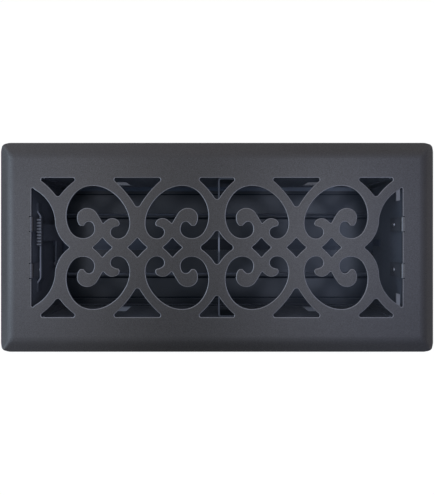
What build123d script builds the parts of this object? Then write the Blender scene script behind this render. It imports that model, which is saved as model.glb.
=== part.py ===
from build123d import *
import os

# Floor register for a 4 by 10 inch duct opening.
# A stamped steel face with pierced scrollwork lies on the floor. A spot welded sheet metal box hangs
# from its ears into the duct and holds two long damper blades, which a thumb lever at the left end turns.
# X runs along the face, Y across it and Z up. The origin is the middle of the face, on the floor.

# Driving dimensions of the box
box_length = 252.0
box_width = 95.6
box_sheet = 0.8
box_bend = 1.6
lap_length = 9.0
mouth_clearance = 2.3

# Driving dimensions of the face
plate_sheet = 1.2
plate_end_overhang = 21.65
plate_side_overhang = 23.65
rim_height = 5.5
rim_lip = 1.9
rim_slope = 8.6
rim_corner = 6.8
crown_break = 1.7

# Driving dimensions of the pierced field
field_inset = 0.7
bracket_depth = 17.8
wedge_bow = 1.2
small_wedge_bow = 0.8
diamond_bow = 0.5
bracket_crown_bow = 4.2
bracket_waist_bow = 2.2

# Driving dimensions of the ears that hold the box
ear_width = 9.6
ear_length = 14.0
ear_place = 15.7
ear_reach = 0.6
ear_relief = 0.7
ear_side_gap = 0.2
ear_bend = 2.0

# Driving dimensions of the damper
blade_drop = 34.5
blade_edge_gap = 3.3
blade_overlap = 2.0
blade_seat_gap = 0.1
blade_right_space = 1.8
rod_radius = 1.5
running_clearance = 0.05
retainer_size = 8.0
retainer_sheet = 0.6
retainer_gap = 0.1
rod_end_reach = 0.2

# Driving dimensions of the crank and lever
crank_offset = 10.4
crank_half_width = 3.8
pin_radius = 1.5
pin_wall_gap = 0.8
corner_clip = 2.0
lever_sheet = 1.0
lever_gap = 0.2
lever_bar_height = 8.0
stalk_width = 12.0
grip_length = 18.8
grip_width = 3.0
grip_lean = 0.4
grip_body = 2.0
grip_drop = 4.3
grip_socket = 1.4
ridge_pitch = 2.1
ridge_count = 9
ridge_height = 0.75
ridge_foot = 1.5
ridge_flank_angle = 60.0

# Driving dimensions of the fixed strips inside the box
strap_sheet = 1.0
strap_height = 4.0
strap_gap = 0.7
strap_half_length = 21.5
strap_jog = 3.0
strap_foot = 6.5
strap_top_gap = 0.5
strap_bend = 1.2
brace_sheet = 1.0
brace_place = 1.3
brace_flange = 10.0
brace_clearance = 2.0
brace_bend = 1.5
stop_leg = 5.0
stop_end_gap = 1.5
mullion_foot = 10.0

# Driving dimensions of the slots punched through the walls
side_slot_place = 71.5
side_slot_width = 10.0
side_slot_height = 16.0
side_slot_depth = 18.0
end_slot_place = 37.0
end_slot_width = 9.6
end_slot_height = 5.8
end_slot_depth = 4.1

# Places that follow from the driving dimensions
plate_length = box_length + 2 * plate_end_overhang
plate_width = box_width + 2 * plate_side_overhang
face_top = rim_height
face_under = rim_height - plate_sheet
rim_rise = (rim_height - rim_lip) / rim_slope
end_outside = box_length / 2
end_inside = end_outside - box_sheet
side_outside = box_width / 2
side_inside = side_outside - box_sheet
ear_face = end_inside - plate_sheet
bracket_edge = ear_face + ear_reach
scroll_pitch = (bracket_edge - bracket_depth) / 2
field_half = side_inside - field_inset
pivot_y = side_inside / 2
pivot_z = -blade_drop
blade_half = pivot_y - blade_edge_gap
ledge_reach = blade_edge_gap + blade_overlap
ledge_offset = blade_seat_gap + box_sheet
blade_right = end_inside - blade_right_space
box_floor = pivot_z - blade_half - mouth_clearance
brace_bottom = pivot_z + blade_half + brace_clearance
strap_inner = ear_face - strap_gap - strap_sheet
stalk_outer = strap_inner - lever_gap
stalk_inner = stalk_outer - lever_sheet
blade_left = lever_gap - stalk_inner
pin_z = pivot_z + crank_offset
grip_crest = face_top - grip_drop
grip_floor = grip_crest - ridge_height - grip_body
strap_top = grip_floor - strap_top_gap


# Outlines and turned pieces that several parts share
def cell(u, v):
    """A place in one scroll cell: u counts pitches from the middle, v runs 0 to 1 from the centre line."""
    return (u * scroll_pitch, v * field_half)


def bowed_outline(corners):
    """A face with one bowed side from each corner to the next: a corner is (x, y, bow of the next side)."""
    sides = []
    for (x, y, bow), (next_x, next_y, _) in zip(corners, corners[1:] + corners[:1]):
        if bow:
            sides.append(SagittaArc((x, y), (next_x, next_y), bow))
        else:
            sides.append(Line((x, y), (next_x, next_y)))
    return make_face(sides)


def flowing_run(stations):
    """Arcs through stations, each (x, y, heading): two tangent arcs lead from one station to the next."""
    arcs = []
    for (x, y, heading), (next_x, next_y, next_heading) in zip(stations, stations[1:]):
        start = Vector(x, y)
        end = Vector(next_x, next_y)
        leaving = Vector(1, 0).rotate(Axis.Z, heading)
        arriving = Vector(1, 0).rotate(Axis.Z, next_heading)
        chord = end - start
        spread = 2 * (1 - leaving.dot(arriving))
        along = chord.dot(leaving + arriving)
        reach = ((along ** 2 + spread * chord.dot(chord)) ** 0.5 - along) / spread
        first_handle = start + leaving * reach
        last_handle = end - arriving * reach
        joint = (first_handle + last_handle) / 2
        arcs.append(TangentArc(start, joint, tangent=leaving))
        arcs.append(TangentArc(joint, end, tangent=last_handle - first_handle))
    return arcs


def four_ways(face):
    """The face and its mirror images across both middle lines."""
    right = [face, mirror(face, Plane.XZ)]
    return right + [mirror(one, Plane.YZ) for one in right]


def rod_x(start, end, radius):
    """A round bar along X on the X axis."""
    return extrude(Plane.YZ.offset(start) * Circle(radius), end - start)


def strip_z(path, sheet, low, high):
    """A bent strip on edge: the path is its middle line, seen from above."""
    return Pos(0, 0, low) * extrude(trace(path, sheet), high - low)


# Face: one stamping with a sloped rim, pierced scrollwork and four ears turned down
def rim_section(span, lip, height):
    """The plate cut across: a straight lip at each side, a slope and a broken edge up to the crown."""
    crown = span / 2 - (height - lip) / rim_rise
    right = [(span / 2, 0), (span / 2, lip), (crown + crown_break, height - crown_break * rim_rise),
             (crown - crown_break, height)]
    left = [(-y, z) for y, z in reversed(right)]
    return make_face(Polyline(*right, *left, close=True))


def rim_form(length, width, corner, lip, height):
    """A solid with one section both ways: its slopes meet in mitres, and its upright corners are rounded."""
    along = extrude(Plane.YZ * rim_section(width, lip, height), length / 2, both=True)
    across = extrude(Plane.XZ * rim_section(length, lip, height), width / 2, both=True)
    return along & across & extrude(RectangleRounded(length, width, corner), height)


def pressed_plate():
    """The plate before it is pierced, hollow underneath."""
    inner_lip = rim_lip + plate_sheet * (rim_rise - (1 + rim_rise ** 2) ** 0.5)
    outer = rim_form(plate_length, plate_width, rim_corner, rim_lip, rim_height)
    inner = rim_form(plate_length - 2 * plate_sheet, plate_width - 2 * plate_sheet, rim_corner - plate_sheet,
                     inner_lip, face_under)
    return outer - inner


def scroll_opening():
    """The round opening of one cell, with a large and a small curl that grow from its foot to blunt tips."""
    small_curl = [(0.568, 0.343, 52), (0.682, 0.425, 0), (0.776, 0.334, 265)]
    ring = [(0.760, 0.309, 185), (0.664, 0.223, 270), (0.753, 0.130, 0), (0.900, 0.345, 90),
            (0.775, 0.700, 131), (0.435, 0.893, 180), (0.107, 0.454, 270), (0.317, 0.134, 0),
            (0.458, 0.265, 90), (0.392, 0.374, 180), (0.322, 0.314, 232)]
    large_curl = [(0.281, 0.314, 140), (0.239, 0.435, 90), (0.368, 0.573, 0), (0.568, 0.343, 298)]
    outline = []
    for run in (small_curl, ring, large_curl):
        stations = [(*cell(u, v), heading) for u, v, heading in run]
        if outline:
            outline.append(Line(outline[-1] @ 1, stations[0][:2]))
        outline += flowing_run(stations)
    return make_face(outline)


def wedge(u, half_width, foot, bow):
    """A three sided opening under the long edge: two bowed sides run down to its foot."""
    left = (*cell(u - half_width, 1), 0)
    right = (*cell(u + half_width, 1), -bow)
    return bowed_outline([left, right, (*cell(u, foot), -bow)])


def diamond(u, half_width, half_height, bow=0):
    """A four sided opening on the centre line."""
    corners = [cell(u - half_width, 0), cell(u, half_height), cell(u + half_width, 0), cell(u, -half_height)]
    return bowed_outline([(x, y, bow) for x, y in corners])


def bracket():
    """The open end of the field, above the lever."""
    neck_x, neck_y = cell(2.036, 0.356)
    point_x, _ = cell(1.846, 0)
    shoulder = cell(0, 0.860)[1]
    corners = [(bracket_edge, -shoulder, 0), (bracket_edge, shoulder, -bracket_crown_bow),
               (neck_x, neck_y, bracket_waist_bow), (point_x, 0, bracket_waist_bow),
               (neck_x, -neck_y, -bracket_crown_bow)]
    return bowed_outline(corners)


def pierced_openings():
    """Every opening of the scrollwork, seen from above."""
    inner_cell = scroll_opening()
    outer_cell = Pos(2 * scroll_pitch) * mirror(inner_cell, Plane.YZ)
    openings = four_ways(inner_cell) + four_ways(outer_cell)
    middle_wedge = wedge(0, 0.235, 0.687, small_wedge_bow)
    openings += [middle_wedge, mirror(middle_wedge, Plane.XZ)]
    openings += four_ways(wedge(1, 0.307, 0.574, wedge_bow))
    openings += four_ways(wedge(2, 0.234, 0.735, small_wedge_bow))
    openings.append(diamond(0, 0.191, 0.235, diamond_bow))
    for u in (0.559, 1.0, 1.441):
        small = diamond(u, 0.115, 0.132)
        openings += [small, mirror(small, Plane.YZ)]
    end_opening = bracket()
    return openings + [end_opening, mirror(end_opening, Plane.YZ)]


def ear():
    """One ear at the right end: a tab turned down from the edge of the end opening."""
    centre_x = ear_face + ear_bend
    centre_z = face_top - ear_bend
    ring = Circle(ear_bend) - Circle(ear_bend - plate_sheet)
    quarter = ring & Pos(-ear_bend / 2, ear_bend / 2) * Rectangle(ear_bend, ear_bend)
    bend = Pos(centre_x, centre_z) * quarter
    leg_length = ear_length - ear_bend
    leg = Pos(ear_face + plate_sheet / 2, centre_z - leg_length / 2) * Rectangle(plate_sheet, leg_length)
    return extrude(Plane.XZ * (bend + leg), ear_width / 2, both=True)


def at_ears(solid):
    """Four copies of a solid that is drawn for the right end, one at each ear."""
    right = [Pos(0, side * ear_place) * solid for side in (-1, 1)]
    return right + [mirror(one, Plane.YZ) for one in right]


def faceplate():
    plate = pressed_plate()
    top = Plane.XY.offset(face_top)
    for opening in pierced_openings():
        plate -= extrude(top * opening, 2 * plate_sheet, both=True)
    notch_length = ear_bend + ear_face - bracket_edge
    notch = Pos(bracket_edge + notch_length / 2, 0, face_top) * Box(
        notch_length, ear_width + 2 * ear_relief, 4 * plate_sheet)
    for relief in at_ears(notch):
        plate -= relief
    for one_ear in at_ears(ear()):
        plate += one_ear
    return plate


# Box walls: two long sides, and two ends that lap inside them
def side_wall(side):
    """A long side of the box with two punched slots."""
    height = face_under - box_floor
    middle_y = side_inside + box_sheet / 2
    slot_z = face_top - side_slot_depth - side_slot_height / 2
    wall = Pos(0, middle_y, face_under - height / 2) * Box(box_length, box_sheet, height)
    for place in (-side_slot_place, side_slot_place):
        wall -= Pos(place, middle_y, slot_z) * Box(side_slot_width, 2 * box_sheet, side_slot_height)
    if side < 0:
        wall = mirror(wall, Plane.XZ)
    return wall


def end_wall(end):
    """A short end of the box, folded to a shallow channel whose flanges lap inside the long sides."""
    middle_x = end_inside + box_sheet / 2
    middle_y = side_inside - box_sheet / 2
    path = FilletPolyline((end_inside - lap_length, -middle_y), (middle_x, -middle_y), (middle_x, middle_y),
                          (end_inside - lap_length, middle_y), radius=box_bend - box_sheet / 2)
    wall = strip_z(path, box_sheet, box_floor, face_under)
    notch_depth = ear_bend - plate_sheet + ear_relief
    notch_width = ear_width + 2 * ear_side_gap
    for y in (-ear_place, ear_place):
        wall -= Pos(middle_x, y, face_under) * Box(4 * box_sheet, notch_width, 2 * notch_depth)
    for y in (-pivot_y, pivot_y):
        wall -= Pos(0, y, pivot_z) * rod_x(ear_face, end_outside, rod_radius + running_clearance)
    if end < 0:
        return mirror(wall, Plane.YZ)
    slot_z = face_top - end_slot_depth - end_slot_height / 2
    for y in (-end_slot_place, end_slot_place):
        wall -= Pos(middle_x, y, slot_z) * Box(2 * box_sheet, end_slot_width, end_slot_height)
    return wall


# Fixed strips inside the box: blade stops, centre mullion, cross brace and lever strap
def blade_stop(side):
    """An angle strip on a long wall: the rear blade lies on its shelf, the front one closes up under it."""
    length = 2 * (end_inside - lap_length - stop_end_gap)
    shelf = Pos(side_inside - ledge_reach / 2, ledge_offset) * Rectangle(ledge_reach, box_sheet)
    leg_z = ledge_offset - box_sheet / 2 + stop_leg / 2
    leg = Pos(side_inside - box_sheet / 2, leg_z) * Rectangle(box_sheet, stop_leg)
    angle = extrude(Plane.YZ * (shelf + leg), length / 2, both=True)
    angle = mirror(angle, Plane.XY if side > 0 else Plane.XZ)
    return Pos(0, 0, pivot_z) * angle


def centre_mullion():
    """A joggled strip between the blades: over the rear blade's edge and under the front one's."""
    half_reach = (ledge_reach + box_sheet / 2) / 2
    upper = Pos(half_reach - box_sheet / 2, ledge_offset) * Rectangle(2 * half_reach, box_sheet)
    lower = Pos(box_sheet / 2 - half_reach, -ledge_offset) * Rectangle(2 * half_reach, box_sheet)
    web = Rectangle(box_sheet, 2 * ledge_offset)
    strip = extrude(Plane.YZ * (upper + lower + web), end_inside, both=True)
    foot = Pos(end_inside - box_sheet / 2, ledge_reach / 2, ledge_offset + mullion_foot / 2) * Box(
        box_sheet, ledge_reach, mullion_foot)
    return Pos(0, 0, pivot_z) * (strip + foot + mirror(foot, Plane.YZ))


def cross_brace():
    """A strip on edge across the box, under the face, with its ends turned along the walls."""
    end_y = side_inside - brace_sheet / 2
    path = FilletPolyline((brace_place + brace_flange, -end_y), (brace_place, -end_y), (brace_place, end_y),
                          (brace_place + brace_flange, end_y), radius=brace_bend)
    return strip_z(path, brace_sheet, brace_bottom, face_under)


def lever_strap():
    """A rubbing strip beside the lever, with its two ends bent back to the left wall."""
    foot_x = strap_sheet / 2 - end_inside
    body_x = -(strap_inner + strap_sheet / 2)
    jog_y = strap_half_length + strap_jog
    foot_y = jog_y + strap_foot
    path = FilletPolyline((foot_x, -foot_y), (foot_x, -jog_y), (body_x, -strap_half_length),
                          (body_x, strap_half_length), (foot_x, jog_y), (foot_x, foot_y), radius=strap_bend)
    return strip_z(path, strap_sheet, strap_top - strap_height, strap_top)


# Damper blades: sheets with a rolled channel that holds a pivot rod, and a crank ear at the left
def blade(side):
    """One blade, closed: the channel lies over the rod along the whole blade."""
    channel_radius = rod_radius + box_sheet
    upper_half = Pos(0, channel_radius / 2) * Rectangle(3 * channel_radius, channel_radius + box_sheet)
    flat = Rectangle(2 * blade_half, box_sheet)
    section = flat + (Circle(channel_radius) & upper_half) - Circle(rod_radius)
    sheet = extrude(Plane.YZ.offset(blade_left) * section, blade_right - blade_left)
    crank_height = crank_offset + crank_half_width
    crank = Pos(crank_offset, crank_height / 2) * Rectangle(2 * crank_half_width, crank_height)
    crank = chamfer(crank.vertices().group_by(Axis.Y)[-1], corner_clip)
    crank -= Pos(crank_offset, crank_offset) * Circle(pin_radius)
    sheet += extrude(Plane.YZ.offset(blade_left) * crank, box_sheet)
    return Pos(0, side * pivot_y, pivot_z) * sheet


def pivot_rod(side):
    """The rod that the blade turns with, running in both end walls."""
    rod_end = end_outside + retainer_gap + retainer_sheet + rod_end_reach
    return Pos(0, side * pivot_y, pivot_z) * rod_x(-rod_end, rod_end, rod_radius)


def rod_retainers(side):
    """Flat spring clips pushed on both ends of a rod, outside the walls."""
    middle_x = end_outside + retainer_gap + retainer_sheet / 2
    clip = Pos(middle_x) * Box(retainer_sheet, retainer_size, retainer_size)
    clip -= rod_x(end_outside, end_outside + retainer_size, rod_radius)
    return Pos(0, side * pivot_y, pivot_z) * Compound([clip, mirror(clip, Plane.YZ)])


def link_pin(side):
    """A pin pressed in the crank: the lever turns on its outer end, and the wall keeps it on."""
    pin = rod_x(pin_wall_gap - end_inside, blade_left + box_sheet, pin_radius)
    return Pos(0, side * pivot_y + crank_offset, pin_z) * pin


# Lever: a bar across both crank pins, with a stalk up to the thumb grip
def damper_lever():
    bar_length = 2 * pivot_y + lever_bar_height
    bar = chamfer(Rectangle(bar_length, lever_bar_height).vertices(), corner_clip)
    stalk_top = grip_floor + grip_socket
    stalk = Pos(0, (stalk_top - pin_z) / 2) * Rectangle(stalk_width, stalk_top - pin_z)
    outline = bar + stalk
    for y in (-pivot_y, pivot_y):
        outline -= Pos(y, 0) * Circle(pin_radius + running_clearance)
    flat = extrude(Plane.YZ.offset(-stalk_outer) * outline, lever_sheet)
    return Pos(0, crank_offset, pin_z) * flat


def thumb_grip():
    """A moulded cap with ridges, pushed on the top of the stalk."""
    body_top = grip_floor + grip_body
    profile = Pos(crank_offset, body_top - grip_body / 2) * Rectangle(grip_length, grip_body)
    ridge = Trapezoid(ridge_foot, ridge_height, ridge_flank_angle, align=(Align.CENTER, Align.MIN))
    for index in range(ridge_count):
        profile += Pos(crank_offset + (index - (ridge_count - 1) / 2) * ridge_pitch, body_top) * ridge
    stalk_x = -(stalk_outer + stalk_inner) / 2
    cap = extrude(Plane.YZ.offset(stalk_x - grip_lean) * profile, grip_width / 2, both=True)
    socket_z = grip_floor + grip_socket / 2
    return cap - Pos(stalk_x, crank_offset, socket_z) * Box(lever_sheet, stalk_width, grip_socket)


nodes = {
    "faceplate": faceplate(),
    "side_wall_front": side_wall(-1),
    "side_wall_rear": side_wall(1),
    "end_wall_left": end_wall(-1),
    "end_wall_right": end_wall(1),
    "blade_stop_front": blade_stop(-1),
    "blade_stop_rear": blade_stop(1),
    "centre_mullion": centre_mullion(),
    "cross_brace": cross_brace(),
    "lever_strap": lever_strap(),
    "blade_front": blade(-1),
    "blade_rear": blade(1),
    "pivot_rod_front": pivot_rod(-1),
    "pivot_rod_rear": pivot_rod(1),
    "rod_retainers_front": rod_retainers(-1),
    "rod_retainers_rear": rod_retainers(1),
    "link_pin_front": link_pin(-1),
    "link_pin_rear": link_pin(1),
    "damper_lever": damper_lever(),
    "thumb_grip": thumb_grip(),
}

os.makedirs("parts", exist_ok=True)
for name, solid in nodes.items():
    export_step(solid, f"parts/{name}.step")
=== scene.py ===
import math

import bmesh
import bpy
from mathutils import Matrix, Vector


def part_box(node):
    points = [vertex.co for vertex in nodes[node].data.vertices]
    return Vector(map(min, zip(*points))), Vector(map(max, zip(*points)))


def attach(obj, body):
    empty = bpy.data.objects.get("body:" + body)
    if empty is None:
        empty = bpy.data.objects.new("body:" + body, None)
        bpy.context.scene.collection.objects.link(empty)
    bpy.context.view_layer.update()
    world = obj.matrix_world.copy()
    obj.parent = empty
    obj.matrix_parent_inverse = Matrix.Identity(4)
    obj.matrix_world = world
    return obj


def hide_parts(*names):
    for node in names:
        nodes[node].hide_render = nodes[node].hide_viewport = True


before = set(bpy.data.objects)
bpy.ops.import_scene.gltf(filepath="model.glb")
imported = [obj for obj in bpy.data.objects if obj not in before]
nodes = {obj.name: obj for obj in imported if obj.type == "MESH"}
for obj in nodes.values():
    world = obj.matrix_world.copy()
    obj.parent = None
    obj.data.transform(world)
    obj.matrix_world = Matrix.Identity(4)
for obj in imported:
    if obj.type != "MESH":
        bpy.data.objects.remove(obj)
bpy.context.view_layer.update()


# The face is one steel stamping: a plate pierced with scrollwork, with a rim that slopes down to a lip on the
# floor. The press rounds the bends of the rim, and the punch leaves every opening with a soft upper edge and
# a fine burr underneath. It is enamelled in satin gunmetal with a fine metallic fleck.
face_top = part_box("faceplate")[1].z
sheet_thickness = 0.0012
sheet_under = face_top - sheet_thickness
field_half = (0.130, 0.055)
lip_top = 0.0019
margin = 0.0001
touching = 1e-6
flat_angle = math.radians(0.5)
upright_slope = 0.01

sheet = bmesh.new()
sheet.from_mesh(nodes["faceplate"].data)
bmesh.ops.remove_doubles(sheet, verts=sheet.verts, dist=2 * touching)
bmesh.ops.dissolve_limit(sheet, angle_limit=flat_angle, verts=sheet.verts, edges=sheet.edges)


def middle_of(part):
    return sum((vert.co for vert in part.verts), Vector()) / len(part.verts)


def in_field(part):
    """True for a face or an edge of the pierced field, and false for one of the rim."""
    middle = middle_of(part)
    return abs(middle.x) < field_half[0] and abs(middle.y) < field_half[1]


def lies_at(part, z):
    """True for a face or an edge that lies level at a height."""
    return all(abs(vert.co.z - z) < touching for vert in part.verts)


def lowest(part):
    return min(vert.co.z for vert in part.verts)


def highest(part):
    return max(vert.co.z for vert in part.verts)


def bend_at(edge):
    """The angle between the two sides of an edge, in degrees."""
    return math.degrees(edge.calc_face_angle())


def plan_length(edge):
    """The length of an edge seen from above."""
    return (edge.verts[0].co.xy - edge.verts[1].co.xy).length


# The rim: its crown, where it turns down from the plate, and its lip.
crown_round = 0.0016
crown_steps = 4
crown_bends = (4, 40)
lip_round = 0.0005
lip_steps = 3
lip_least_bend = 45

crown = [edge for edge in sheet.edges
         if not in_field(edge) and lowest(edge) > lip_top + margin
         and highest(edge) > sheet_under + sheet_thickness / 3
         and crown_bends[0] < bend_at(edge) < crown_bends[1]]
bmesh.ops.bevel(sheet, geom=crown, offset=crown_round, segments=crown_steps, profile=0.5, affect="EDGES")
lip = [edge for edge in sheet.edges
       if not in_field(edge) and abs(lowest(edge) - lip_top) < 2 * margin
       and bend_at(edge) > lip_least_bend and plan_length(edge) > 10 * touching]
bmesh.ops.bevel(sheet, geom=lip, offset=lip_round, segments=lip_steps, profile=0.5, affect="EDGES")

# The openings: the punch rounds their corners. A star is given by how far its corners reach out, how far its
# sides bow in, and the round of its corners.
corner_round = 0.0011
tip_round = 0.0003
wedge_round = 0.0013
wedge_ease = 0.0005
foot_round = 0.0019
foot_turn = math.radians(120)
end_round = 0.0008
end_reach = 0.0013
diamond_star = (0.0006, 0.0003, 0.0008)
centre_star = (0.0021, 0.0013, 0.0020)
star_zone = 0.1
centre_zone = 0.01
off_middle = 0.001
star_steps = 4
corner_turn = math.radians(25)
corner_steps = 5
share_beside_corner = 0.4
share_beside_curve = 0.8
edge_roll = ((0.00045, 0.0), (0.00027, 0.000025), (0.00012, 0.000085), (0.0, 0.00018))
burr = 0.00012
least_spread = 0.5
ear_zone = (0.1245, 0.022)
ear_bend_x = 0.1259
ear_face = 0.1240
ear_bend_slope = (0.2, 0.99)

# The places of the finishes after the flat sheet's 0: painted highlight on edges, ears, painted shade,
# highlight on bends.
edge_highlight, on_ears, opening_shade, bend_highlight = range(1, 5)


def opening_outlines():
    """Each opening's outline on top of the sheet: its points, and if a wall goes down from the next side."""
    top = {flat for flat in sheet.faces if lies_at(flat, face_top)}
    walled = {}
    sides = {}
    for edge in sheet.edges:
        beyond = [flat for flat in edge.link_faces if flat not in top]
        if len(beyond) == 1 and len(edge.link_faces) == 2 and in_field(edge) and lies_at(edge, face_top):
            walled[edge] = abs(beyond[0].normal.z) < upright_slope
            for vert in edge.verts:
                sides.setdefault(vert, []).append(edge)
    outlines = []
    passed = set()
    for start in sides:
        if start in passed:
            continue
        outline = []
        vert = start
        edge = sides[start][0]
        while vert not in passed:
            passed.add(vert)
            outline.append((vert.co.xy.copy(), walled[edge]))
            vert = edge.other_vert(vert)
            edge = next(side for side in sides[vert] if side is not edge)
        outlines.append(outline)
    return outlines


def turn_at(outline, index):
    """How far an outline turns at a point, in radians: above 0 at a corner of the opening, below at a tip."""
    before = outline[index - 1][0]
    here = outline[index][0]
    after = outline[(index + 1) % len(outline)][0]
    return (after - here).angle_signed(here - before)


def turns_of(outline):
    """How far an outline turns at each of its points, and which points are corners."""
    turns = [turn_at(outline, index) for index in range(len(outline))]
    return turns, [abs(turn) > corner_turn for turn in turns]


def corner_sides(points, index):
    """The outward normals of the two sides that meet at a point of a counter clockwise outline."""
    before = (points[index] - points[index - 1]).normalized()
    after = (points[(index + 1) % len(points)] - points[index]).normalized()
    return Vector((before.y, -before.x)), Vector((after.y, -after.x))


def counter_clockwise(outline):
    """The outline itself, or turned round if it runs clockwise, with each wall still on its own side."""
    count = len(outline)
    if sum(outline[index - 1][0].cross(outline[index][0]) for index in range(count)) < 0:
        return [(outline[-index][0], outline[-index - 1][1]) for index in range(count)]
    return outline


def at_ear(here):
    """True for the points of the two end openings beside their ears, which stay as they are."""
    return abs(here.x) > ear_zone[0] and abs(here.y) < ear_zone[1]


def at_end_corner(here):
    """True for the pointed corners of the two end openings."""
    return abs(here.x) > ear_zone[0] and abs(here.y) > ear_zone[1]


def drawn_out(outline):
    """An outline with the pointed corners of an end opening drawn out."""
    return [(here + Vector((0, math.copysign(end_reach, here.y))) if at_end_corner(here) else here, wall)
            for here, wall in outline]


def star_for(corners):
    """The star that a diamond on the middle line becomes, or nothing for another opening."""
    if len(corners) != 4 or any(abs(here.x) >= star_zone for here in corners):
        return None
    if abs(sum(here.y for here in corners)) >= off_middle:
        return None
    return centre_star if abs(corners[0].x + corners[2].x) < centre_zone else diamond_star


def starred(corners, reach, bow):
    """A four sided outline from its corners, moved outward, with sides that bow inward."""
    middle = sum(corners, Vector((0, 0))) / len(corners)
    corners = [here + (here - middle).normalized() * reach for here in corners]
    outline = []
    for index, here in enumerate(corners):
        side = corners[(index + 1) % len(corners)] - here
        inward = Vector((-side.y, side.x)).normalized()
        for step in range(star_steps):
            share = step / star_steps
            outline.append((here + side * share + inward * bow * 4 * share * (1 - share), True))
    return outline


def opened(outline):
    """The outline of a wedge, moved outward all round."""
    places = [here for here, _ in outline]
    wider = []
    for index, (here, wall) in enumerate(outline):
        first, second = corner_sides(places, index)
        wider.append((here + (first + second) / (1 + first.dot(second)) * wedge_ease, wall))
    return wider


def round_at(here, turn, wedge, star):
    """The radius of one corner."""
    if wedge:
        return foot_round if turn < foot_turn else wedge_round
    if star:
        return star[2]
    if at_end_corner(here):
        return end_round
    return corner_round if turn > 0 else tip_round


def rounded(start, corner, end, turn):
    """The points of an arc that takes the place of a corner."""
    points = []
    for step in range(corner_steps + 1):
        share = step / corner_steps
        pull = 2 * share * (1 - share) * math.cos(turn / 2)
        total = (1 - share) ** 2 + pull + share ** 2
        points.append((start * (1 - share) ** 2 + corner * pull + end * share ** 2) / total)
    return points


def eased(outline):
    """An outline with its corners rounded and its curves twice as fine, counter clockwise.

    The wedges are first opened a little, and the diamonds on the middle line and the two end openings get
    longer corners, so that all keep their reach when their corners are rounded."""
    outline = drawn_out(counter_clockwise(outline))
    turns, sharp = turns_of(outline)
    corners = [here for (here, _), corner in zip(outline, sharp) if corner]
    wedge = len(corners) == 3
    star = star_for(corners)
    if wedge:
        outline = opened(outline)
    if star:
        reach, bow, _ = star
        outline = starred(corners, reach, bow)
        turns, sharp = turns_of(outline)
    points = []
    for index, (here, wall) in enumerate(outline):
        after_index = (index + 1) % len(outline)
        before = here - outline[index - 1][0]
        after = outline[after_index][0] - here
        if not sharp[index] or at_ear(here):
            points.append((here, wall))
        else:
            radius = round_at(here, turns[index], wedge, star)
            cut = min(radius * math.tan(abs(turns[index]) / 2),
                      before.length * (share_beside_corner if sharp[index - 1] else share_beside_curve),
                      after.length * (share_beside_corner if sharp[after_index] else share_beside_curve))
            start = here - before.normalized() * cut
            end = here + after.normalized() * cut
            points += [(point, wall) for point in rounded(start, here, end, turns[index])]
        if wall and not sharp[index] and not sharp[after_index]:
            # An arc rises over its chord by an eighth of the chord times its turn.
            rise = after.length * (turns[index] + turns[after_index]) / 2 / 8
            points.append((here + after / 2 + Vector((after.y, -after.x)).normalized() * rise, wall))
    return points


def punch(outline):
    """The walls of one opening, with a rounded upper edge and a small burr below."""
    points = eased(outline)
    places = [here for here, _ in points]
    outward = []
    for index, here in enumerate(places):
        first, second = corner_sides(places, index)
        spread = (first + second) / max(1 + first.dot(second), least_spread)
        outward.append(Vector((0, 0)) if abs(here.x) > ear_bend_x else spread)
    levels = [(inset, face_top - drop, face_top) for inset, drop in edge_roll]
    levels += [(0.0, sheet_under + burr, sheet_under), (burr, sheet_under, sheet_under)]
    rings = []
    for inset, soft_z, sharp_z in levels:
        rings.append([sheet.verts.new((*(here + way * inset), soft_z if way.length else sharp_z))
                      for here, way in zip(places, outward)])
    for step, (upper, lower) in enumerate(zip(rings, rings[1:])):
        for index, (_, wall) in enumerate(points):
            after = (index + 1) % len(points)
            if wall:
                side = sheet.faces.new((upper[index], upper[after], lower[after], lower[index]))
                # The rolled upper edge takes the painted highlight, and the wall below it the painted shade.
                side.material_index = edge_highlight if step < len(edge_roll) - 1 else opening_shade


outlines = opening_outlines()
replaced = [flat for flat in sheet.faces
            if lies_at(flat, face_top) or lies_at(flat, sheet_under)
            or (in_field(flat) and abs(flat.normal.z) < upright_slope
                and lowest(flat) > sheet_under - touching)]
bmesh.ops.delete(sheet, geom=replaced, context="FACES")
for outline in outlines:
    punch(outline)
bmesh.ops.remove_doubles(sheet, verts=sheet.verts, dist=touching)
bmesh.ops.dissolve_degenerate(sheet, dist=touching / 10, edges=sheet.edges)
for height, way_up in ((face_top, 1), (sheet_under, -1)):
    edges = [edge for edge in sheet.edges if len(edge.link_faces) == 1 and lies_at(edge, height)]
    bmesh.ops.triangle_fill(sheet, use_beauty=True, edges=edges, normal=(0, 0, way_up))
bmesh.ops.recalc_face_normals(sheet, faces=sheet.faces)
for side in sheet.faces:
    bent = ear_bend_slope[0] < side.normal.z < ear_bend_slope[1]
    if in_field(side) and lowest(side) < sheet_under - margin:
        side.material_index = on_ears
    # The ear bends take a paler painted highlight.
    if in_field(side) and abs(middle_of(side).x) > ear_face and bent:
        side.material_index = bend_highlight


def add_piece(name, shape):
    """A piece of the scene made from a finished shape."""
    mesh = bpy.data.meshes.new(name)
    shape.to_mesh(mesh)
    shape.free()
    piece = bpy.data.objects.new(name, mesh)
    bpy.context.scene.collection.objects.link(piece)
    return piece


face = add_piece("scroll_face", sheet)
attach(face, "register_frame")
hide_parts("faceplate")

# The enamel of the face: a paler painted highlight on the rolled edges of the openings and on the ear bends,
# dull on the ears, and painted shade, near black, on the walls of the openings.
fleck_scale = 2600
fleck_detail = 3
fleck_span = (0.36, 0.64)
fleck_height = 0.000004
fleck_metal = 0.85
soft_crease = 40


def new_finish(name):
    """A new material with its node tree and its shader."""
    finish = bpy.data.materials.new(name)
    finish.use_nodes = True
    tree = finish.node_tree
    return finish, tree, tree.nodes["Principled BSDF"]


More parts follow.
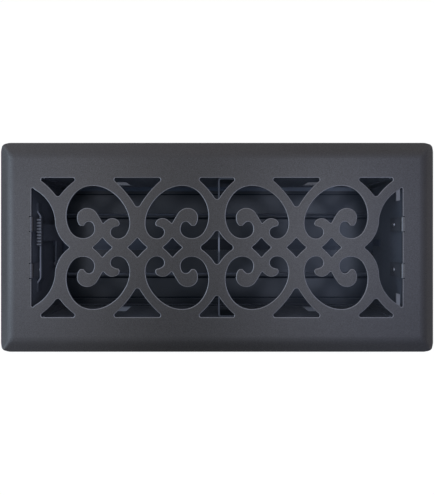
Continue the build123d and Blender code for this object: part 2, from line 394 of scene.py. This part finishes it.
def grain(tree, scale, detail=2.0):
    """A noise texture in the piece's own metres."""
    place = tree.nodes.new("ShaderNodeTexCoord")
    texture = tree.nodes.new("ShaderNodeTexNoise")
    texture.inputs["Scale"].default_value = scale
    texture.inputs["Detail"].default_value = detail
    tree.links.new(place.outputs["Object"], texture.inputs["Vector"])
    return texture.outputs["Fac"]


def graded(tree, value, start, end, low=0.0, high=1.0, kind="SMOOTHSTEP"):
    """A level that runs from low to high as a value goes from start to end."""
    node = tree.nodes.new("ShaderNodeMapRange")
    node.interpolation_type = kind
    node.inputs["From Min"].default_value = start
    node.inputs["From Max"].default_value = end
    node.inputs["To Min"].default_value = low
    node.inputs["To Max"].default_value = high
    tree.links.new(value, node.inputs["Value"])
    return node.outputs["Result"]


def wandering(tree, scale, low, high):
    """A level that wanders from low to high: the middle of a noise's span, stretched."""
    return graded(tree, grain(tree, scale), start=0.3, end=0.7, low=low, high=high, kind="LINEAR")


def blend_colours(tree, factor, stops):
    """A colour ramp: each stop is a place from 0 to 1 and a colour."""
    node = tree.nodes.new("ShaderNodeValToRGB")
    elements = node.color_ramp.elements
    while len(elements) < len(stops):
        elements.new(0.5)
    for element, (place, colour) in zip(elements, stops):
        element.position = place
        element.color = (*colour, 1)
    tree.links.new(factor, node.inputs["Fac"])
    return node.outputs["Color"]


def colour_by(tree, shader, factor, *stops):
    """Colours a shader by a ramp."""
    tree.links.new(blend_colours(tree, factor, stops), shader.inputs["Base Color"])


def roughen(tree, shader, scale, low, high):
    """A roughness that wanders from low to high."""
    tree.links.new(wandering(tree, scale, low, high), shader.inputs["Roughness"])


def uneven(tree, shader, factor, height):
    """A fine unevenness of that height in metres."""
    node = tree.nodes.new("ShaderNodeBump")
    node.inputs["Distance"].default_value = height
    tree.links.new(factor, node.inputs["Height"])
    tree.links.new(node.outputs["Normal"], shader.inputs["Normal"])


def flecked(tree, shader, dark, light):
    """Colours a shader with a fine fleck between two colours."""
    fleck = grain(tree, fleck_scale, fleck_detail)
    colour_by(tree, shader, fleck, (fleck_span[0], dark), (fleck_span[1], light))
    return fleck


def gunmetal(name, dark, light):
    """Satin enamel with a metallic fleck between two colours."""
    finish, tree, shader = new_finish(name)
    fleck = flecked(tree, shader, dark, light)
    roughen(tree, shader, scale=700, low=0.31, high=0.38)
    shader.inputs["Metallic"].default_value = fleck_metal
    uneven(tree, shader, fleck, fleck_height)
    return finish


def dress(piece, *finishes, crease=30):
    """Gives a piece its finish, or the finishes of its parts in turn, and shades it smooth.

    The shading breaks at edges sharper than the crease, in degrees."""
    if piece.data.materials:
        piece.data.materials.clear()
    for finish in finishes:
        piece.data.materials.append(finish)
    for polygon in piece.data.polygons:
        polygon.use_smooth = True
    piece.data.set_sharp_from_angle(angle=math.radians(crease))


ear_enamel, tree, shader = new_finish("dull_enamel_on_ears")
flecked(tree, shader, dark=(0.070, 0.072, 0.077), light=(0.090, 0.092, 0.097))
roughen(tree, shader, scale=700, low=0.45, high=0.55)
# Painted shade: the walls of the openings are coloured near black.
painted_shade_enamel, tree, shader = new_finish("painted_shade_in_openings")
flecked(tree, shader, dark=(0.016, 0.018, 0.022), light=(0.024, 0.026, 0.030))
shader.inputs["Roughness"].default_value = 0.6
dress(face,
      gunmetal("gunmetal_enamel", dark=(0.067, 0.061, 0.054), light=(0.107, 0.100, 0.091)),
      # Painted highlight on the rolled edges of the openings.
      gunmetal("painted_highlight_on_edges", dark=(0.17, 0.165, 0.16), light=(0.26, 0.25, 0.24)),
      ear_enamel,
      # Painted shade on the walls of the openings.
      painted_shade_enamel,
      # Painted highlight on the ear bends.
      gunmetal("painted_highlight_on_bends", dark=(0.10, 0.095, 0.09), light=(0.16, 0.155, 0.15)),
      crease=soft_crease)
flat_sheet = face.modifiers.new("flat_sheet", "WEIGHTED_NORMAL")
flat_sheet.keep_sharp = True
flat_sheet.weight = 100


# The box is welded from four walls of thin steel sheet, two long sides and two ends folded to lap inside
# them, with slots punched near the top. It is dipped in dark grey enamel.
box_satin = {"scale": 400, "low": 0.34, "high": 0.46}
box_ripple = 0.000006
box_enamel, tree, shader = new_finish("box_enamel")
colour_by(tree, shader, grain(tree, scale=60), (0.3, (0.088, 0.094, 0.106)), (0.7, (0.110, 0.116, 0.128)))
roughen(tree, shader, **box_satin)
uneven(tree, shader, grain(tree, scale=900), box_ripple)
for name in ("side_wall_front", "side_wall_rear", "end_wall_left", "end_wall_right"):
    dress(nodes[name], box_enamel)

# The mullion between the blades is a joggled strip of the same sheet, welded to the end walls. Its enamel is
# darker than that of the walls, and is painted paler towards its ends as painted light.
mullion_light_end = 0.085


def combine(tree, operation, first, second):
    """The sum, product or other combination of two values."""
    node = tree.nodes.new("ShaderNodeMath")
    node.operation = operation
    for socket, value in zip(node.inputs, (first, second)):
        if isinstance(value, float):
            socket.default_value = value
        else:
            tree.links.new(value, socket)
    return node.outputs["Value"]


def axes(tree, kind):
    """The three values of a texture coordinate."""
    place = tree.nodes.new("ShaderNodeTexCoord")
    parts = tree.nodes.new("ShaderNodeSeparateXYZ")
    tree.links.new(place.outputs[kind], parts.inputs["Vector"])
    return parts.outputs


def away_from_zero(tree, value):
    return combine(tree, "MAXIMUM", value, combine(tree, "MULTIPLY", value, -1.0))


mullion_enamel, tree, shader = new_finish("mullion_enamel")
# Painted light: the mullion is painted paler towards its ends.
painted_light = graded(tree, away_from_zero(tree, axes(tree, "Object")["X"]), 0.0, mullion_light_end)
colour_by(tree, shader, painted_light, (0.0, (0.006, 0.008, 0.012)), (1.0, (0.064, 0.075, 0.094)))
roughen(tree, shader, **box_satin)
shader.inputs["Specular IOR Level"].default_value = 0.3
dress(nodes["centre_mullion"], mullion_enamel)

# The strap that guides the lever is a folded strip on edge, welded to the left end wall and dipped with the
# box. Its upper edge carries a painted highlight between its two feet.
strap_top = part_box("lever_strap")[1].z
highlight_depth = 0.0004
highlight_full_depth = 0.0001
feet_start = 0.0235
feet_end = 0.026


def near_top(tree, top, depth, full_depth):
    """1 from the top of a piece down to the full depth, fading to 0 at the whole depth: the mask of a painted
    highlight.
    """
    return graded(tree, axes(tree, "Object")["Z"], top - depth, top - full_depth)


strap_enamel, tree, shader = new_finish("strap_enamel")
between_feet = graded(tree, away_from_zero(tree, axes(tree, "Object")["Y"]), feet_start, feet_end, 1.0, 0.0)
# Painted highlight along the top edge of the strap.
strap_highlight = combine(tree, "MULTIPLY", near_top(tree, strap_top, highlight_depth, highlight_full_depth), between_feet)
colour_by(tree, shader, strap_highlight, (0.0, (0.070, 0.075, 0.085)), (1.0, (0.30, 0.31, 0.33)))
roughen(tree, shader, **box_satin)
dress(nodes["lever_strap"], strap_enamel)

# Four small steel rivets hold the ears of the face to the end walls. They are headed in place, and each shows
# a low dome on its ear.
rivet_radius = 0.0015
rivet_height = 0.0008
rivet_drop = 0.0098
rivet_rings = 5
rivet_sides = 24
ear_place = 0.0157

steel, tree, shader = new_finish("drawn_steel")
colour_by(tree, shader, grain(tree, scale=1200), (0.3, (0.34, 0.34, 0.35)), (0.7, (0.50, 0.50, 0.51)))
roughen(tree, shader, scale=500, low=0.28, high=0.42)
shader.inputs["Metallic"].default_value = 1.0


def rivet_dome(end, side):
    """The head of one rivet: rings of points from the ear up to a crest."""
    dome = bmesh.new()
    middle_y = side * ear_place
    middle_z = face_top - rivet_drop
    rings = []
    for step in range(rivet_rings):
        rise = math.sin(step / rivet_rings * math.pi / 2)
        radius = rivet_radius * math.cos(step / rivet_rings * math.pi / 2)
        ring = []
        for index in range(rivet_sides):
            angle = 2 * math.pi * index / rivet_sides
            ring.append(dome.verts.new((end * (ear_face - rivet_height * rise),
                                        middle_y + radius * math.cos(angle),
                                        middle_z + radius * math.sin(angle))))
        rings.append(ring)
    crest = dome.verts.new((end * (ear_face - rivet_height), middle_y, middle_z))
    for index in range(rivet_sides):
        after = (index + 1) % rivet_sides
        for lower, upper in zip(rings, rings[1:]):
            dome.faces.new((lower[index], lower[after], upper[after], upper[index]))
        dome.faces.new((rings[-1][index], rings[-1][after], crest))
    dome.faces.new(rings[0])
    bmesh.ops.recalc_face_normals(dome, faces=dome.faces)
    return dome


for end, end_name in ((-1, "left"), (1, "right")):
    for side, side_name in ((-1, "front"), (1, "rear")):
        rivet = add_piece(f"ear_rivet_{end_name}_{side_name}", rivet_dome(end, side))
        dress(rivet, steel, crease=soft_crease)
        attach(rivet, "register_frame")

# Two long blades close the duct. Each is a sheet with a channel rolled over its rod and a crank ear at the
# left, in a satin black enamel. A painted shadow line without shine marks where it meets its stop, painted
# light makes it paler towards the right, and the rear flank of the channel is painted paler as painted light.
shadow_line_place = 0.0411
shadow_line_half = 0.0004
shadow_line_blur = 0.4
light_start = 0.0
light_end = 0.10
light_most = 0.5
rear_slope = (0.2, 0.6)
blade_black = (0.005, 0.009, 0.013)
painted_lit_black = (0.048, 0.056, 0.070)
channel_painted_grey = (0.11, 0.12, 0.14)
blade_shine = 0.5
blade_satin = {"scale": 300, "low": 0.31, "high": 0.36}
blade_enamel, tree, shader = new_finish("blade_enamel")
place = axes(tree, "Object")
# Painted light: the blade is painted paler towards the right.
painted_light = combine(tree, "MULTIPLY", graded(tree, place["X"], light_start, light_end, high=light_most),
               wandering(tree, scale=40, low=0.7, high=1.0))
# Painted light: the rear flank of the channel is painted paler.
painted_light_rear_flank = graded(tree, axes(tree, "Normal")["Y"], *rear_slope)
colour_by(tree, shader, combine(tree, "MAXIMUM", painted_light, painted_light_rear_flank),
          (0.0, blade_black), (light_most, painted_lit_black), (1.0, channel_painted_grey))
roughen(tree, shader, **blade_satin)
# A painted shadow line: the blade loses its shine along the edge of its stop.
from_shadow_line = away_from_zero(tree, combine(tree, "SUBTRACT", away_from_zero(tree, place["Y"]), shadow_line_place))
shine = graded(tree, from_shadow_line, shadow_line_half * (1 - shadow_line_blur), shadow_line_half * (1 + shadow_line_blur), high=blade_shine)
tree.links.new(shine, shader.inputs["Specular IOR Level"])
shader.inputs["IOR"].default_value = 1.55
for name in ("blade_front", "blade_rear"):
    dress(nodes[name], blade_enamel)

# The stops that the blades close on are folded strips in the same black, welded to the long walls. The rear
# stop is painted greyer than that, and paler still towards the right, as painted light.
dress(nodes["blade_stop_front"], blade_enamel)
painted_light_stop_enamel, tree, shader = new_finish("painted_light_stop_enamel")
painted_light = graded(tree, axes(tree, "Object")["X"], light_start, light_end)
# Painted light: the rear stop is painted greyer than the blades, and paler towards the right.
colour_by(tree, shader, painted_light, (0.0, (0.042, 0.058, 0.080)), (1.0, (0.240, 0.265, 0.310)))
roughen(tree, shader, **blade_satin)
dress(nodes["blade_stop_rear"], painted_light_stop_enamel)

# The brace under the middle of the face is a strip on edge, welded to the long walls and black too. The
# middle of its upper edge carries a painted highlight.
brace_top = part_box("cross_brace")[1].z
glint_place = 0.002
glint_half = 0.006
glint_least = 0.2
brace_enamel, tree, shader = new_finish("brace_enamel")
from_glint = away_from_zero(tree, combine(tree, "SUBTRACT", axes(tree, "Object")["Y"], glint_place))
# Painted highlight along the middle of the brace's top edge.
brace_glint = combine(tree, "MULTIPLY", near_top(tree, brace_top, highlight_depth, highlight_full_depth),
               graded(tree, from_glint, glint_half / 2, glint_half, 1.0, glint_least))
colour_by(tree, shader, brace_glint, (0.0, blade_black), (1.0, (0.17, 0.175, 0.19)))
roughen(tree, shader, **blade_satin)
dress(nodes["cross_brace"], brace_enamel)

# Rods of drawn steel turn with the blades, flat spring clips hold their ends outside the walls, and short
# pins pressed in the crank ears carry the lever.
for name in ("pivot_rod_front", "pivot_rod_rear", "rod_retainers_front", "rod_retainers_rear",
             "link_pin_front", "link_pin_rear"):
    dress(nodes[name], steel)

# The lever is one steel stamping, a bar across both pins with a stalk up to the face. Two holes in the bar
# turn on the pins, and it is enamelled as the box is.
dress(nodes["damper_lever"], box_enamel)

# The thumb grip is a moulded cap of dark grey plastic, pushed on the stalk, with ridges across its top. The
# crests of the ridges carry a painted highlight.
ridge_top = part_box("thumb_grip")[1].z
ridge_rise = 0.0006
ridge_full_depth = 0.0002
grip_ripple = 0.000008
grip_plastic, tree, shader = new_finish("grip_plastic")
# Painted highlight on the crests of the ridges.
crest = near_top(tree, ridge_top, ridge_rise, ridge_full_depth)
colour_by(tree, shader, crest, (0.0, (0.055, 0.057, 0.062)), (1.0, (0.19, 0.195, 0.205)))
roughen(tree, shader, scale=1500, low=0.35, high=0.5)
uneven(tree, shader, grain(tree, scale=4000), grip_ripple)
dress(nodes["thumb_grip"], grip_plastic)


# The floor is plain and white, just below the lower edge of the box. It stays white to the eye, except under
# the face, where its real shadow is deepened by a painted shadow, a darker colour that fades out round the
# box.
floor_half = 2.0
floor_gap = 0.0005
floor_glow = 1.08
whitest = 0.9
shadow_core = (0.166, 0.056)
shadow_end = (0.191, 0.089)
shadow_grey = (0.28, 0.28, 0.28)
floor_grey = (0.62, 0.62, 0.62)
floor_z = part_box("side_wall_front")[0].z - floor_gap
floor_shape = bmesh.new()
bmesh.ops.create_grid(floor_shape, x_segments=1, y_segments=1, size=floor_half)
bmesh.ops.translate(floor_shape, verts=floor_shape.verts, vec=(0, 0, floor_z))
floor = add_piece("white_floor", floor_shape)


def seen_directly(tree):
    """1 for the rays that look at a background, straight or in a mirror or glass, and 0 for light."""
    path = tree.nodes.new("ShaderNodeLightPath")
    mirrored = combine(tree, "MAXIMUM", path.outputs["Is Glossy Ray"], path.outputs["Is Transmission Ray"])
    return combine(tree, "MAXIMUM", path.outputs["Is Camera Ray"], mirrored)


def end_in_mix(tree, factor, first, second, output_kind):
    """Ends a tree with a mix of two shaders, all of the second where the factor is 1."""
    mix = tree.nodes.new("ShaderNodeMixShader")
    tree.links.new(factor, mix.inputs["Fac"])
    tree.links.new(first, mix.inputs[1])
    tree.links.new(second, mix.inputs[2])
    output = tree.nodes.new(output_kind)
    tree.links.new(mix.outputs["Shader"], output.inputs["Surface"])


white_paint, tree, _ = new_finish("white_floor")
tree.nodes.clear()
place = axes(tree, "Object")
past_ends = graded(tree, away_from_zero(tree, place["X"]), shadow_core[0], shadow_end[0], high=whitest)
past_sides = graded(tree, away_from_zero(tree, place["Y"]), shadow_core[1], shadow_end[1], high=whitest)
clear = combine(tree, "MAXIMUM", past_ends, past_sides)
lit = tree.nodes.new("ShaderNodeBsdfDiffuse")
# Painted shadow: under the face the floor's own colour is darker, on top of its real shadow.
lit_grey = blend_colours(tree, clear, [(0.0, shadow_grey), (whitest, floor_grey)])
tree.links.new(lit_grey, lit.inputs["Color"])
glow = tree.nodes.new("ShaderNodeEmission")
glow.inputs["Strength"].default_value = floor_glow
whiteness = combine(tree, "MULTIPLY", seen_directly(tree), clear)
end_in_mix(tree, whiteness, lit.outputs["BSDF"], glow.outputs["Emission"], "ShaderNodeOutputMaterial")
floor.data.materials.append(white_paint)

# The light is a plain bright room: cool daylight from the left, dimmer to the right and in front, with a dull
# patch overhead, and one soft window to the upper right. To the camera itself the room is white.
wall_light = [(0.01, (0.26, 0.31, 0.43)), (0.085, (2.70, 3.35, 4.30)), (0.15, (1.15, 1.33, 1.78)),
              (0.23, (1.14, 1.28, 1.74)), (0.305, (1.68, 1.80, 2.16)), (0.38, (0.84, 0.90, 1.04)),
              (0.43, (0.46, 0.51, 0.60)), (0.485, (0.46, 0.51, 0.60)), (0.54, (0.98, 1.07, 1.30)),
              (0.61, (1.28, 1.42, 1.84)), (0.70, (1.24, 1.42, 1.98)), (0.78, (0.76, 0.88, 1.34)),
              (0.86, (0.48, 0.53, 0.72)), (0.99, (0.32, 0.33, 0.42))]
rear_light = [(0.2, (1.12, 1.19, 1.42)), (0.8, (0.78, 0.79, 0.90))]
dull_way = Vector((-0.2, -0.2, 0.96)).normalized()
room = bpy.data.worlds.new("room")
bpy.context.scene.world = room
room.use_nodes = True
tree = room.node_tree
tree.nodes.clear()
heading = axes(tree, "Generated")
across = combine(tree, "MULTIPLY", combine(tree, "ADD", heading["X"], 1.0), 0.5)
round_room = tree.nodes.new("ShaderNodeMix")
round_room.data_type = "RGBA"
tree.links.new(graded(tree, heading["Y"], start=0.1, end=0.7), round_room.inputs["Factor"])
tree.links.new(blend_colours(tree, across, wall_light), round_room.inputs["A"])
tree.links.new(blend_colours(tree, across, rear_light), round_room.inputs["B"])
frontal = graded(tree, heading["Y"], start=-1.0, end=-0.2, low=0.25, high=1.0)
middle = graded(tree, away_from_zero(tree, heading["Y"]), start=0.0, end=0.35, low=1.0, high=0.62)
upper = graded(tree, heading["Z"], start=-0.05, end=0.05, low=0.03, high=1.0)
direction = tree.nodes.new("ShaderNodeTexCoord")
toward = tree.nodes.new("ShaderNodeVectorMath")
toward.operation = "DOT_PRODUCT"
toward.inputs[1].default_value = dull_way
tree.links.new(direction.outputs["Generated"], toward.inputs[0])
dull = graded(tree, toward.outputs["Value"], start=0.95, end=0.99, low=1.0, high=0.55)
level = combine(tree, "MULTIPLY",
                combine(tree, "MULTIPLY", frontal, middle), combine(tree, "MULTIPLY", upper, dull))
room_light = tree.nodes.new("ShaderNodeBackground")
tree.links.new(round_room.outputs["Result"], room_light.inputs["Color"])
tree.links.new(level, room_light.inputs["Strength"])
white_light = tree.nodes.new("ShaderNodeBackground")
white_light.inputs["Color"].default_value = (1, 1, 1, 1)
eye = tree.nodes.new("ShaderNodeLightPath")
end_in_mix(tree, eye.outputs["Is Camera Ray"], room_light.outputs["Background"],
           white_light.outputs["Background"], "ShaderNodeOutputWorld")

window_width = 0.20
window_length = 0.55
window_power = 0.25
window_colour = (0.84, 0.92, 1.0)
window_place = (0.49, 0.10, 1.10)
window_data = bpy.data.lights.new("window", "AREA")
window_data.shape = "RECTANGLE"
window_data.size = window_width
window_data.size_y = window_length
window_data.energy = window_power
window_data.color = window_colour
window = bpy.data.objects.new("window", window_data)
window.location = window_place
bpy.context.scene.collection.objects.link(window)

# The camera looks straight down from close by. It stands a little to the rear of the middle, and its lens is
# shifted to keep the face in the middle of the picture.
view_height = 0.332
camera_rise = 0.205
camera_back = 0.0067
camera_right = 0.00034
sensor = 36.0
nearest = 0.01
camera_data = bpy.data.cameras.new("overhead")
camera_data.sensor_width = sensor
camera_data.lens = sensor * camera_rise / view_height
camera_data.clip_start = nearest
camera_data.shift_y = -camera_back / view_height
camera = bpy.data.objects.new("overhead", camera_data)
camera.location = (camera_right, camera_back, face_top + camera_rise)
bpy.context.scene.collection.objects.link(camera)
bpy.context.scene.camera = camera
bpy.context.scene.view_settings.view_transform = "Standard"
